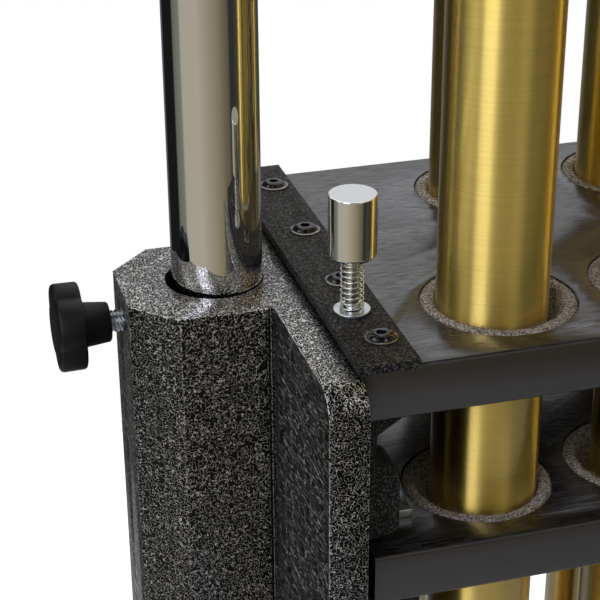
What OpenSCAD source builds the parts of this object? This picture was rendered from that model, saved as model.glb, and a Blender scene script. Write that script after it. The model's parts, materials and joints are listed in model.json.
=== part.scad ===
// Orchestral tubular bells: eighteen brass bells in two rows, hung on a telescopic wheeled stand.
// The bells pass through felt-lined holes in two boards. The lower board slides sideways against the
// upper one and damps them, and a pedal opens it through a rod and a bell crank.
// Millimetres. +X runs along the rows from low to high notes, -Y faces the player, +Z is up, and
// the origin lies on the floor in the middle of the stand.

/* [Bells] */
// Outer diameter of a bell tube
tube_d = 38.1; // [34:0.1:40]
// Wall of a bell tube
tube_wall = 1.65; // [1.2:0.05:2.5]
// Length of the lowest bell
longest_bell = 1560; // [1480:5:1570]
// Distance between neighbouring bells in a row
pitch = 62; // [61:0.5:70]
// Distance between the front row and the rear row
row_gap = 93; // [92:1:110]
// Height of the front row's bell tops above the floor
front_top = 1700; // [1640:5:1760]
// How much higher the rear row hangs
rear_rise = 80; // [75:5:120]
// Height of the cap soldered on each bell
cap_h = 14; // [10:1:20]
// Wire of the bails and of the hooks that carry them
wire_d = 4; // [3:0.5:4.5]
// Half the width of a bail
bail_r = 10; // [8:0.5:12]
// Height of a bail's straight legs
bail_leg = 8; // [6:0.5:9]
// Bevel round the top of a bell
cap_edge = 1; // [0.5:0.25:1.5]

/* [Boards] */
// Height of the upper board's top face above the floor
board_top = 950; // [940:5:960]
// Thickness of both boards
board_t = 19; // [17:1:22]
// Depth of both boards, front to back
board_depth = 165; // [164:1:185]
// From the strip's outer edge to the first bell hole of the front row
end_margin = 61.5; // [60:0.5:75]
// Clear height between the boards
board_space = 52; // [50:1:60]
// Bell holes in the boards
hole_d = 54; // [53:0.5:56]
// Free play all round a centred bell in its felt ring
felt_play = 2.75; // [2.5:0.05:3]
// Gap left between a bell and the felt that it leans on
touch_gap = 0.3; // [0.25:0.05:0.4]
// Rounding along the boards' long edges
board_round = 1.5; // [1:0.25:3]

/* [End strips and lock plunger] */
// Width of the steel end strips
strip_w = 20.4; // [19:0.2:24]
// Thickness of the steel end strips
strip_t = 3; // [2:0.5:4]
// How far a strip stands past the board's end
strip_over = 1; // [0.5:0.25:2]
// How far a strip stands past the board's front and back edges
strip_over_y = 2.5; // [1:0.5:4]
// Diameter of a screw's flanged head
screw_head_d = 11; // [9.5:0.5:12]
// Thread of a screw
screw_d = 5; // [4:0.5:5.5]
// Length of a screw in the board
screw_l = 10; // [8:1:12]
// Distance from a strip's outer edge to its screws
screw_edge = 12.9; // [12:0.1:14]
// How far the row of screws is set back from the strip's middle
screw_shift = -1.5; // [-3:0.5:0]
// Distance between the screws of a strip
screw_pitch = 44; // [40:1:48]
// Diameter of the plunger's knob
plunger_knob_d = 16; // [14:0.5:17]
// Height of the plunger's knob
plunger_knob_h = 22.1; // [18:0.1:26]
// Diameter of the plunger's rod
plunger_rod_d = 5.6; // [5:0.1:6]
// Distance from the boards' front edge to the plunger
plunger_in = 35.5; // [34:0.5:37]
// Distance from the strip's outer edge to the plunger
plunger_edge = 9.5; // [9:0.1:10]
// Travel of the plunger
plunger_travel = 9; // [7:0.5:9]
// Room for the plunger's spring under the knob
spring_h = 18.7; // [17:0.1:22]
// Mean diameter of the plunger's spring
spring_d = 7.5; // [7.3:0.1:8.5]
// Wire of the plunger's spring
spring_wire = 0.9; // [0.7:0.1:1]
// Turns of the plunger's spring
spring_turns = 10; // [8:1:10]
// Diameter of the washer under the spring
washer_d = 12.5; // [11:0.5:14]
// Thickness of the washer
washer_t = 1.3; // [1:0.1:2]
// Width of the latch plate
latch_w = 30; // [26:1:34]
// Thickness of the latch plate
latch_t = 3; // [2:0.5:4]
// Distance from the strip's outer edge to the latch plate's inner end
latch_reach = 27; // [24:1:30]

/* [Towers] */
// Width of a tower, along the rows
tower_w = 60.2; // [58:0.2:70]
// Depth of a tower's eight-sided column
column_depth = 59; // [56:1:66]
// Bevel on the column's corners
column_bevel = 14.7; // [10:0.1:16]
// How far the tower's top lies under the board's top
tower_drop = 1.1; // [0.5:0.1:3]
// Thickness of the tower's flange beside the boards
flange_t = 13.2; // [10:0.2:15]
// How far the flange stands past the boards' front and back edges
flange_over = 11; // [8:1:15]
// Height of the flange
flange_h = 170; // [160:5:220]
// Round on the flange's upper corners
flange_round = 10; // [6:1:16]
// Height over which the flange tapers back into the column
flange_taper = 90; // [60:5:120]
// Width of the groove where the column meets the flange
groove_w = 2; // [1:0.25:3]
// Wall of the cored casting
tower_wall = 6; // [5:0.5:8]
// Height of the gussets at the tower's foot
gusset_h = 90; // [60:5:140]
// How far the gussets reach out from the column
gusset_reach = 39; // [30:1:50]
// Thickness of the gussets
gusset_t = 10; // [8:1:14]
// Bore that guides the post
bore_d = 34.6; // [34:0.1:36]
// Distance from the tower's inner face to the bore's centre
bore_x = 27.1; // [25:0.1:30]
// How far down the tower the bore goes
bore_depth = 270; // [260:10:400]
// Height of solid metal at the tower's top, round the clamp screw
tower_head = 30; // [26:1:50]

/* [Posts and head] */
// Diameter of the telescopic posts
post_d = 31.75; // [30:0.25:32]
// Wall of the posts
post_wall = 2; // [1.5:0.25:3]
// How deep a lowered post stands in its tower
post_insert = 250; // [240:5:255]
// Travel of the height adjustment
lift_travel = 80; // [40:10:80]
// Height of the rails that carry the bells
rail_h = 40; // [30:1:50]
// Thickness of the rails
rail_t = 24; // [18:1:28]
// Wall of the rails
rail_wall = 3; // [2:0.5:4]
// Thickness of the head castings
head_t = 16; // [12:1:20]
// Height of the sockets on the posts' ends
socket_h = 58; // [50:1:70]
// Wall of the sockets
socket_wall = 7; // [5:0.5:9]
// Radius of the arms where they leave the socket
arm_r = 18; // [15:1:20]
// Rim of the arms round the rails
arm_rim = 4; // [3:0.5:8]

/* [Clamp knobs] */
// Diameter over the knob's four lobes
knob_d = 33; // [28:1:36]
// Thickness of the lobed head
knob_t = 9.6; // [8:0.2:12]
// Diameter of the knob's neck
neck_d = 16.6; // [14:0.2:18]
// Length of the knob's neck
neck_l = 9.4; // [7:0.2:12]
// Bevel round the face of the knob's head
knob_bevel = 2.4; // [1:0.2:3]
// Thread of the clamp stud
stud_d = 8; // [6:0.5:10]
// Length of stud that shows outside the tower
stud_show = 4.6; // [3:0.2:8]
// Depth of the clamp screw under the tower's top
clamp_drop = 12; // [11:0.5:20]

/* [Feet] */
// Length of a foot
foot_l = 560; // [500:10:640]
// Width of a foot
foot_w = 50; // [46:1:60]
// Thickness of a foot
foot_h = 40; // [34:1:46]
// Height of the foot's underside above the floor
foot_z = 100; // [96:1:110]
// Diameter of a castor wheel
wheel_d = 75; // [60:1:78]
// Width of a castor wheel
wheel_w = 24; // [20:1:26]
// Offset of the wheel behind its swivel axis
castor_trail = 25; // [20:1:30]
// Distance from a foot's end to its castor's swivel axis
castor_inset = 35; // [34:1:45]
// Height of the bosses over the castors
boss_h = 4; // [2:1:6]
// Diameter of a castor's swivel pin
king_d = 12; // [10:1:16]
// Diameter of a castor's axle
axle_d = 8; // [6:1:10]
// Thickness of a castor fork's cheeks
cheek_t = 3; // [2:0.5:4]

/* [Pedal and damper drive] */
// Length from the pedal's hinge to its toe
pedal_l = 330; // [300:10:360]
// Width of the pedal's foot plate
pedal_w = 90; // [70:5:110]
// Height of the pedal's hinge above the floor
pedal_z = 75; // [70:1:85]
// Distance from the pedal's hinge to the rod
pedal_arm = 110; // [100:5:130]
// Crank arm that the rod pulls
crank_long = 50; // [46:1:60]
// Crank arm that moves the lower board
crank_short = 30; // [28:1:32]
// Diameter of the pedal rod
rod_d = 8; // [7:0.5:9]
// Thickness of the crank and of the pedal's lug
crank_t = 6; // [5:0.5:7]
// Diameter of the pins that drive the crank
pin_d = 6; // [5:0.5:7]
// Diameter of the bolt that the crank turns on
crank_bolt_d = 8; // [6:1:10]
// Turns of the return spring round the rod
return_turns = 12; // [8:1:14]

/* [Hidden] */
$fn = 64;
NATURALS = [0, 2, 4, 5, 7, 9, 11, 12, 14, 16, 17];
BELLS = ["bell_c5", "bell_cs5", "bell_d5", "bell_ds5", "bell_e5", "bell_f5", "bell_fs5", "bell_g5",
         "bell_gs5", "bell_a5", "bell_as5", "bell_b5", "bell_c6", "bell_cs6", "bell_d6", "bell_ds6",
         "bell_e6", "bell_f6"];

// Clearances: a running fit on the radius, and the gap between pieces that pass each other.
run_fit = 0.05;
pass_gap = 0.3;

// Rows, and the boards' ends. The strips reach strip_over past the boards.
half_row = (len(NATURALS) - 1) / 2 * pitch;
strip_x = half_row + end_margin;
board_x = strip_x - strip_over;
row_y = row_gap / 2;

// The damper: the bells lean against the upper felts on one side and the lower felts on the other.
damper_travel = 2 * (felt_play - touch_gap);
bell_shift = -damper_travel / 2;
felt_d = tube_d + 2 * felt_play;
felt_clear = pass_gap;
lower_top = board_top - board_t - board_space;
lower_bottom = lower_top - board_t;
guide_t = 5;
slide_gap = 1;
lower_x0 = -board_x + guide_t + slide_gap;
lower_x1 = board_x - guide_t - slide_gap - damper_travel;

// Towers and posts.
tower_top = board_top - tower_drop;
foot_top = foot_z + foot_h;
flange_y = board_depth / 2 + flange_over;
post_push = bore_d / 2 - post_d / 2 - pass_gap;
post_x = board_x + bore_x - post_push;
clamp_z = tower_top - clamp_drop;
foot_x = board_x + tower_w / 2;

// Head.
rear_top = front_top + rear_rise;
bail_wire = wire_d - 1;
bail_boss_d = bail_wire + 2;
bail_boss_h = bail_leg + 1.5;
hook_r = 6;
hook_rise = bail_leg + bail_r - bail_wire / 2 - wire_d / 2 - pass_gap;
rail_rise = hook_rise + hook_r + 14;
hook_tail = 3;
post_top = front_top - 10;
socket_d = post_d + 2 * socket_wall;
socket_up = 8;
arm_z = post_top - 20;

// Plunger and its latch plate, on the left end of the boards.
plunger_x = plunger_edge - strip_x;
plunger_y = board_depth / 2 - plunger_in;
plunger_hole_d = plunger_rod_d + 2 * pass_gap;
screw_x = strip_x - screw_edge;
screw_hole_d = screw_d + 0.2;
latch_gap = 2;
plunger_low = lower_top + latch_t + latch_gap;
plunger_seat = board_top + strip_t + washer_t + spring_h;

// Damper drive.
crank_x = -crank_long;
crank_z = lower_bottom - crank_short - 10;
slot_w = pin_d + 2 * pass_gap;
drive_rail_y = 9;
drive_rail_t = 14;
drive_rail_h = 40;
beam_w = 30;
beam_z = 165;
beam_h = 40;
beam_wall = 3;
collar_z = beam_z + beam_h + 80;
return_wire = 2;
return_d = 15;
ear_x = 32;
ear_t = 4;
ear_z = beam_z - ear_t;
hinge_d = 10;
lug_rise = 20;

// Feet and castors.
foot_reach = foot_l / 2 - foot_w / 2;
castor_y = foot_l / 2 - castor_inset;
king_top = foot_top - 8;
axle_z = wheel_d / 2;
cheek_x = wheel_w / 2 + 0.6;
crown_top = foot_z - boss_h - pass_gap;
crown_low = crown_top - 8;
lever_y = castor_trail + 8;
lever_z = wheel_d + 7;
lever_pin_d = 5;

// The tower stands in the frame of the left end, with x = 0 on its inner face.
module at_end(side) {
    if (side < 0) translate([-board_x, 0, 0]) children();
    else mirror([1, 0, 0]) translate([-board_x, 0, 0]) children();
}

// A closed outline with each corner rounded to radius r by arcs of a few chords.
function corner(c, r, a) = [for (i = [0:4]) c + r * [cos(a + i * 22.5), sin(a + i * 22.5)]];
function round_box(w, h, r) = concat(
    corner([w / 2 - r, h / 2 - r], r, 0), corner([r - w / 2, h / 2 - r], r, 90),
    corner([r - w / 2, r - h / 2], r, 180), corner([w / 2 - r, r - h / 2], r, 270));

// A straight bar along X from x0 to x1 with a rounded section centred at (y, z).
module x_bar(x0, x1, y, z, depth, height, r) {
    translate([x0, y, z]) rotate([90, 0, 90])
        linear_extrude(x1 - x0) polygon(round_box(depth, height, r));
}

// A cylinder along X or Y, from its first point.
module x_rod(p, d, l) translate(p) rotate([0, 90, 0]) cylinder(d = d, h = l);
module y_rod(p, d, l) translate(p) rotate([-90, 0, 0]) cylinder(d = d, h = l);

// A slot of width w and centre distance l along X, cut through height h.
module slot(w, l, h) {
    linear_extrude(h) {
        translate([-l / 2, 0]) circle(d = w);
        translate([l / 2, 0]) circle(d = w);
        translate([-l / 2, -w / 2]) square([l, w]);
    }
}

// One helical spring along Z as a single closed tube of six-sided rings, eight rings to a turn, with
// a whole number of turns. Each end bends and runs straight for one wire diameter, square to the
// face that it presses on.
function coil_frame(t, climb) = [
    [cos(360 * t), sin(360 * t), 0],
    [sin(360 * t) * sin(climb), -cos(360 * t) * sin(climb), cos(climb)],
    [-sin(360 * t) * cos(climb), cos(360 * t) * cos(climb), sin(climb)]];
function coil_ring(c, u, v, w) = [for (k = [0:5]) c + w / 2 * (u * cos(60 * k) + v * sin(60 * k))];
module coil(turns, r, h, w) {
    n = turns * 8;
    rise = (h - 3 * w) / turns;
    climb = atan(rise / (2 * PI * r));
    f0 = coil_frame(0, climb);
    bend = (f0[1] - f0[2]) * 0.7;
    rings = concat(
        [coil_ring([r, 0, 0], f0[0], [0, -1, 0], w), coil_ring([r, 0, w], f0[0], bend, w)],
        [for (i = [1:n - 1]) let (f = coil_frame(i / 8, climb))
            coil_ring([r * f[0][0], r * f[0][1], 1.5 * w + rise * i / 8], f[0], f[1], w)],
        [coil_ring([r, 0, h - w], f0[0], bend, w), coil_ring([r, 0, h], f0[0], [0, -1, 0], w)]);
    m = len(rings) - 1;
    sides = [for (i = [0:m - 1], k = [0:5])
        let (a = i * 6 + k, b = i * 6 + (k + 1) % 6)
        each [[a, a + 6, b + 6], [a, b + 6, b]]];
    ends = [for (k = [1:4]) each [[0, k, k + 1], [m * 6, m * 6 + k + 1, m * 6 + k]]];
    polyhedron(points = [for (ring = rings) each ring], faces = concat(sides, ends));
    echo(least_gap = rise * cos(climb) - w);
}

// Where the bells hang: naturals in the front row, sharps half a pitch on in the rear row.
function is_natural(n) = len(search(n, NATURALS)) > 0;
function natural_before(n) = len([for (m = NATURALS) if (m <= n) m]) - 1;
function bell_x(n) = -half_row + pitch * (natural_before(n) + (is_natural(n) ? 0 : 0.5));
function bell_y(n) = is_natural(n) ? -row_y : row_y;
function bell_top(n) = is_natural(n) ? front_top : rear_top;
function bell_length(n) = longest_bell * pow(2, -n / 24);
module each_bell() {
    for (n = [0:len(BELLS) - 1]) translate([bell_x(n), bell_y(n), 0]) children();
}

// A bell: a thin tube with a soldered cap, and a wire bail in two bosses on the cap.
module bell(n) {
    top = bell_top(n);
    low = top - bell_length(n);
    r = tube_d / 2;
    bore = r - tube_wall;
    color("goldenrod") translate([bell_x(n) + bell_shift, bell_y(n), 0]) {
        rotate_extrude() polygon([[bore, low], [r, low], [r, top - cap_edge], [r - cap_edge, top],
                                  [0, top], [0, top - cap_h], [bore, top - cap_h]]);
        for (s = [-1, 1]) translate([s * bail_r, 0, top - 1]) cylinder(d = bail_boss_d, h = bail_boss_h);
        translate([0, 0, top + bail_leg]) rotate([90, 0, 0]) rotate([0, 0, -8])
            rotate_extrude(angle = 196) translate([bail_r, 0]) circle(d = bail_wire, $fn = 24);
    }
}

// The hooks: a shank screwed into the rail and a round bow that passes under the bail.
module bell_hook(n) {
    z = bell_top(n) + hook_rise;
    translate([bell_x(n) + bell_shift, bell_y(n), z]) {
        translate([0, hook_r, hook_r]) cylinder(d = wire_d, h = rail_rise - hook_rise - hook_r);
        translate([0, 0, hook_r]) rotate([90, 0, 90]) rotate([0, 0, 180])
            rotate_extrude(angle = 180) translate([hook_r, 0]) circle(d = wire_d, $fn = 24);
        translate([0, -hook_r, hook_r]) cylinder(d = wire_d, h = hook_tail);
    }
}
module bell_hooks() {
    color("silver") for (n = [0:len(BELLS) - 1]) bell_hook(n);
}

// The rails that carry the hooks, between the head castings.
module head_rail(y, top) {
    reach = post_x - head_t / 2;
    z = top + rail_rise + rail_h / 2;
    color("dimgray") difference() {
        x_bar(-reach, reach, y, z, rail_t, rail_h, 2);
        x_bar(-reach - 1, reach + 1, y, z, rail_t - 2 * rail_wall, rail_h - 2 * rail_wall, 1);
    }
}
module front_rail() head_rail(-row_y, front_top);
module rear_rail() head_rail(row_y, rear_top);

// The castings on the posts: a socket, and an arm that rises to each rail.
module arm(p, p_r, q, q_r) hull() {
    translate(p) circle(r = p_r, $fn = 32);
    translate(q) circle(r = q_r, $fn = 32);
}
module head_casting() {
    front_c = [-row_y, front_top + rail_rise + rail_h / 2];
    rear_c = [row_y, rear_top + rail_rise + rail_h / 2];
    end_r = rail_h / 2 + arm_rim;
    low = post_top + socket_up - socket_h;
    difference() {
        union() {
            translate([-post_x, 0, low]) cylinder(d = socket_d, h = socket_h);
            translate([-post_x - head_t / 2, 0, 0]) rotate([90, 0, 90]) linear_extrude(head_t) {
                arm([0, arm_z], arm_r, front_c, end_r);
                arm([0, arm_z], arm_r, rear_c, end_r);
                arm(front_c, end_r * 0.7, rear_c, end_r * 0.7);
            }
        }
        translate([-post_x, 0, low - 1]) cylinder(d = post_d + 2 * run_fit, h = post_top - low + 1);
    }
}
module head_castings() {
    color("dimgray") {
        head_casting();
        mirror([1, 0, 0]) head_casting();
    }
}

// The chrome posts that telescope in the towers.
module posts() {
    low = tower_top - post_insert;
    color("gainsboro") for (s = [-1, 1]) translate([s * post_x, 0, low]) difference() {
        cylinder(d = post_d, h = post_top - low);
        translate([0, 0, -1]) cylinder(d = post_d - 2 * post_wall, h = post_top - low - 5);
    }
}

// A cast tower: an eight-sided column with a bored top, a broad flange beside the boards that
// tapers back into the column, a groove where the two meet, and gussets at the foot. It is cored
// from below, with a tube round the bore.
function column(inset) = let (y = column_depth / 2 - inset, x = tower_w - inset,
                              b = column_bevel - inset * (2 - sqrt(2)))
    [[-x, y - b], [b - x, y], [-inset, y], [-inset, -y], [b - x, -y], [-x, b - y]];
function arc(y, z, r, a0) = [for (a = [a0:15:a0 + 90]) [y + r * cos(a), z + r * sin(a)]];
module gusset() {
    y = column_depth / 2 - 1;
    translate([-tower_w / 2 - gusset_t / 2, 0, foot_top]) rotate([90, 0, 90]) linear_extrude(gusset_t)
        polygon([[y, 0], [y + gusset_reach, 0], [y, gusset_h]]);
}
module tower() {
    half = column_depth / 2;
    low = tower_top - flange_h;
    y = flange_y - flange_round;
    z = tower_top - flange_round;
    tube_low = tower_top - bore_depth - tower_wall;
    difference() {
        union() {
            translate([0, 0, foot_top]) linear_extrude(tower_top - foot_top) polygon(column(0));
            translate([-flange_t, 0, 0]) rotate([90, 0, 90]) linear_extrude(flange_t)
                polygon(concat([[half, low - flange_taper], [flange_y, low]], arc(y, z, flange_round, 0),
                               arc(-y, z, flange_round, 90), [[-flange_y, low], [-half, low - flange_taper]]));
            gusset();
            mirror([0, 1, 0]) gusset();
        }
        difference() {
            translate([0, 0, foot_top - 1]) linear_extrude(tower_top - tower_head - foot_top + 1)
                polygon(column(tower_wall));
            translate([-bore_x, 0, tube_low]) cylinder(d = bore_d + 2 * tower_wall, h = tower_top - tube_low);
        }
        translate([-bore_x, 0, tower_top - bore_depth]) cylinder(d = bore_d, h = bore_depth + 1);
        x_rod([-tower_w - 1, 0, clamp_z], stud_d + 2 * run_fit, tower_w - bore_x);
        for (s = [-1, 1]) translate([-flange_t - groove_w / 2, s * half, low - flange_taper])
            rotate([0, 0, 45]) translate([-groove_w / 2, -groove_w / 2, 0])
                cube([groove_w, groove_w, flange_h + flange_taper + 1]);
    }
}
module tower_left() color("dimgray") at_end(-1) tower();
module tower_right() color("dimgray") at_end(1) tower();

// A foot: a bar with round ends across the stand, with a raised boss for each castor's swivel pin.
module foot() {
    difference() {
        union() {
            translate([0, 0, foot_z]) rotate([0, 0, 90]) slot(foot_w, 2 * foot_reach, foot_h);
            for (s = [-1, 1]) translate([0, s * castor_y, foot_z - boss_h])
                cylinder(d = foot_w - 4, h = boss_h + 1);
        }
        for (s = [-1, 1]) translate([0, s * castor_y, foot_z - boss_h - 1])
            cylinder(d = king_d + 2 * run_fit, h = king_top - foot_z + boss_h + 1);
    }
}
module foot_left() color("dimgray") translate([-foot_x, 0, 0]) foot();
module foot_right() color("dimgray") translate([foot_x, 0, 0]) foot();

// The beam between the towers, a box tube with a guide bush for the rod and ears for the pedal.
module pedal_ear() {
    rotate([90, 0, 90]) linear_extrude(ear_t) {
        polygon([[-beam_w / 2, ear_z + 1], [beam_w / 2, ear_z + 1], [pedal_arm + 8, pedal_z + 9],
                 [pedal_arm + 8, pedal_z - 9], [pedal_arm - 9, pedal_z - 9],
                 [-beam_w / 2, ear_z - 12]]);
        translate([pedal_arm, pedal_z]) circle(d = hinge_d + 16);
    }
}
module cross_beam() {
    color("dimgray") {
        difference() {
            union() {
                difference() {
                    x_bar(-board_x, board_x, 0, beam_z + beam_h / 2, beam_w, beam_h, 3);
                    x_bar(-board_x - 1, board_x + 1, 0, beam_z + beam_h / 2,
                          beam_w - 2 * beam_wall, beam_h - 2 * beam_wall, 1);
                }
                translate([0, 0, beam_z]) cylinder(d = rod_d + 8, h = beam_h);
            }
            translate([0, 0, beam_z - 1]) cylinder(d = rod_d + 2 * run_fit, h = beam_h + 2);
        }
        difference() {
            translate([-ear_x - ear_t, -beam_w / 2, ear_z]) cube([2 * (ear_x + ear_t), beam_w, ear_t]);
            translate([0, 0, ear_z - 1]) cylinder(d = rod_d + 6, h = ear_t + 2);
        }
        translate([ear_x, 0, 0]) pedal_ear();
        translate([-ear_x - ear_t, 0, 0]) pedal_ear();
        x_rod([-ear_x - ear_t - 2, pedal_arm, pedal_z], hinge_d, 2 * (ear_x + ear_t + 2));
    }
}

// The rail behind the rod: a flat bar under the boards with the shoulder bolt of the crank.
module damper_rail() {
    color("dimgray") {
        x_bar(-board_x, board_x, drive_rail_y + drive_rail_t / 2, crank_z, drive_rail_t, drive_rail_h, 2);
        y_rod([crank_x, -crank_t / 2 - 1, crank_z], crank_bolt_d, drive_rail_y + crank_t / 2 + 2);
        y_rod([crank_x, -crank_t / 2 - pass_gap - 3, crank_z], crank_bolt_d + 6, 3);
    }
}

// The crank: two arms at a right angle on a hub, with a slot for the rod's pin and an open fork
// for the board's pin.
module bell_crank() {
    color("silver") translate([crank_x, 0, crank_z]) difference() {
        union() {
            rotate([90, 0, 0]) translate([0, 0, -crank_t / 2]) linear_extrude(crank_t) {
                circle(d = 20);
                translate([0, -7]) square([crank_long, 14]);
                translate([crank_long, 0]) circle(d = 16);
                translate([-7, 0]) square([14, crank_short + 5]);
            }
            y_rod([0, 0, 0], crank_bolt_d + 10, drive_rail_y - pass_gap);
        }
        y_rod([0, -crank_t, 0], crank_bolt_d + 2 * run_fit, drive_rail_y + 2 * crank_t);
        rotate([90, 0, 0]) translate([0, 0, -crank_t]) {
            translate([crank_long, 0]) slot(slot_w, 3, 2 * crank_t);
            translate([0, crank_short + 3]) rotate([0, 0, 90]) slot(slot_w, 8, 2 * crank_t);
        }
    }
}

// The lug under the lower board whose pin sits in the crank's fork. Its place is worked out at
// rest, with the board drawn aside.
module drive_lug() {
    lug_y = crank_t / 2 + pass_gap + 2;
    color("silver") {
        translate([crank_x - 14, -lug_y - 4, lower_bottom - 3]) cube([28, lug_y + 10, 3]);
        translate([crank_x - 7, -lug_y - 4, crank_z + crank_short - 6])
            cube([14, 4, lower_bottom - crank_z - crank_short + 5]);
        y_rod([crank_x, -lug_y - 1, crank_z + crank_short], pin_d, lug_y + crank_t / 2 + 3);
    }
}

// The rod from the pedal to the crank: a clevis at each end, and a collar over the spring.
module clevis(inner, outer, h) {
    for (s = [0, 1]) mirror([s, 0, 0]) translate([inner / 2, -8, -8]) cube([(outer - inner) / 2, 16, h + 8]);
    translate([-outer / 2, -8, h]) cube([outer, 16, 6]);
    x_rod([-outer / 2 - 2, 0, 0], pin_d, outer + 4);
}
module pedal_rod() {
    inner = crank_t + 2 * pass_gap;
    outer = inner + 6;
    low = pedal_z + lug_rise;
    color("silver") {
        translate([0, 0, low + 14]) cylinder(d = rod_d, h = crank_z - low - 26);
        translate([0, 0, low]) clevis(inner, outer, 12);
        translate([0, 0, crank_z]) mirror([0, 0, 1]) rotate([0, 0, 90]) clevis(inner, outer, 10);
        translate([0, 0, collar_z]) cylinder(d = return_d + 5, h = 8);
    }
}
module return_spring() {
    color("gainsboro") translate([0, 0, beam_z + beam_h])
        coil(return_turns, return_d / 2, collar_z - beam_z - beam_h, return_wire);
}

// The pedal: a hub on the ears' pin, a bar, a lug with a slot for the rod's pin, and a foot plate.
module pedal() {
    toe = pedal_arm - pedal_l;
    plate_l = 90;
    color("dimgray") difference() {
        union() {
            x_rod([-ear_x + pass_gap, pedal_arm, pedal_z], 2 * hinge_d, 2 * (ear_x - pass_gap));
            translate([-15, toe + plate_l - 10, pedal_z - 3]) cube([30, pedal_l - plate_l + 10, 6]);
            translate([0, toe + plate_l / 2, pedal_z - 3]) linear_extrude(6)
                polygon(round_box(pedal_w, plate_l, 14));
            translate([-crank_t / 2, 0, 0]) rotate([90, 0, 90]) linear_extrude(crank_t) {
                translate([0, pedal_z + lug_rise]) circle(d = 18);
                polygon([[-16, pedal_z], [16, pedal_z], [9, pedal_z + lug_rise], [-9, pedal_z + lug_rise]]);
            }
        }
        x_rod([-ear_x - 1, pedal_arm, pedal_z], hinge_d + 2 * run_fit, 2 * ear_x + 2);
        translate([-crank_t, 0, pedal_z + lug_rise]) rotate([90, 0, 90]) slot(slot_w, 3.4, 2 * crank_t);
    }
}

// The boards: stained planks with rounded long edges, a hole for every bell, and on the upper one
// the holes for the plunger and the screws.
module plank(x0, x1, z) {
    x_bar(x0, x1, 0, z + board_t / 2, board_depth, board_t, board_round);
}
module upper_board() {
    color("#2b2a29") difference() {
        plank(-board_x, board_x, board_top - board_t);
        translate([0, 0, board_top - board_t - 1]) each_bell() cylinder(d = hole_d, h = board_t + 2);
        each_screw() translate([0, 0, board_top - screw_l - 1])
            cylinder(d = screw_hole_d, h = screw_l + 2);
        translate([plunger_x, -plunger_y, board_top - board_t - 1])
            cylinder(d = plunger_hole_d, h = board_t + 2);
    }
}
module lower_board() {
    color("#2b2a29") difference() {
        plank(lower_x0, lower_x1, lower_bottom);
        translate([-damper_travel, 0, lower_bottom - 1]) each_bell() cylinder(d = hole_d, h = board_t + 2);
        translate([plunger_x - damper_travel - 10, -plunger_y - 5, lower_top - plunger_travel])
            cube([damper_travel + 15, 10, plunger_travel + 1]);
    }
}

// The felt rings that line the holes.
module felts(shift, z) {
    color("#9a9184") translate([shift, 0, z]) each_bell() difference() {
        cylinder(d = hole_d - 2 * felt_clear, h = board_t);
        translate([0, 0, -1]) cylinder(d = felt_d, h = board_t + 2);
    }
}
module upper_felts() felts(0, board_top - board_t);
module lower_felts() felts(-damper_travel, lower_bottom);

// The steel strips on the upper board's ends, and the flanged button screws that hold them.
module each_screw() {
    for (s = [-1, 1], i = [-1.5:1:1.5])
        translate([s * screw_x, i * screw_pitch + screw_shift, 0]) children();
}
module end_strips() {
    color("#1c1c1c") difference() {
        for (s = [0, 1]) mirror([s, 0, 0])
            translate([strip_x - strip_w, -board_depth / 2 - strip_over_y, board_top])
                cube([strip_w, board_depth + 2 * strip_over_y, strip_t]);
        each_screw() translate([0, 0, board_top - 1]) cylinder(d = screw_hole_d, h = strip_t + 2);
        translate([plunger_x, -plunger_y, board_top - 1]) cylinder(d = plunger_hole_d, h = strip_t + 2);
    }
}
module board_screws() {
    r = screw_head_d / 2;
    color("black") each_screw() translate([0, 0, board_top + strip_t]) difference() {
        union() {
            rotate_extrude() polygon([[0, 0], [r, 0], [r, 0.5], [r * 0.8, 0.9], [r * 0.72, 1.7],
                                      [r * 0.55, 2.6], [0, 2.8]]);
            translate([0, 0, -strip_t - screw_l]) cylinder(d = screw_d, h = strip_t + screw_l + 0.5);
        }
        translate([0, 0, 1.2]) cylinder(d = 4.6, h = 2, $fn = 6);
    }
}

// The guides: castings on the flanges that carry the upper board, with a nose over the lower board's
// latch and a ledge under the lower board.
module board_guides() {
    upper_low = board_top - board_t;
    depth = 15;
    lead = board_depth / 2 - 5;
    color("dimgray") for (side = [-1, 1], s = [-1, 1]) at_end(side)
        translate([0, s > 0 ? lead : depth - lead, 0]) rotate([90, 0, 0]) linear_extrude(depth)
            polygon([[0, upper_low], [16, upper_low], [16, upper_low - 3], [guide_t + 3, upper_low - 8],
                     [guide_t + 2, upper_low - 19], [14, upper_low - 21], [16, upper_low - 24],
                     [16, lower_top + latch_t + 5], [14, lower_top + latch_t + 2],
                     [guide_t, lower_top + latch_t + 1], [guide_t, lower_bottom - pass_gap],
                     [24, lower_bottom - pass_gap], [24, lower_bottom - 5], [guide_t, lower_bottom - 20],
                     [0, lower_bottom - 20]]);
}

// The washer under the plunger's spring.
module plunger_washer() {
    color("lightsteelblue") translate([plunger_x, -plunger_y, board_top + strip_t]) difference() {
        cylinder(d = washer_d, h = washer_t);
        translate([0, 0, -1]) cylinder(d = plunger_hole_d, h = washer_t + 2);
    }
}

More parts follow.
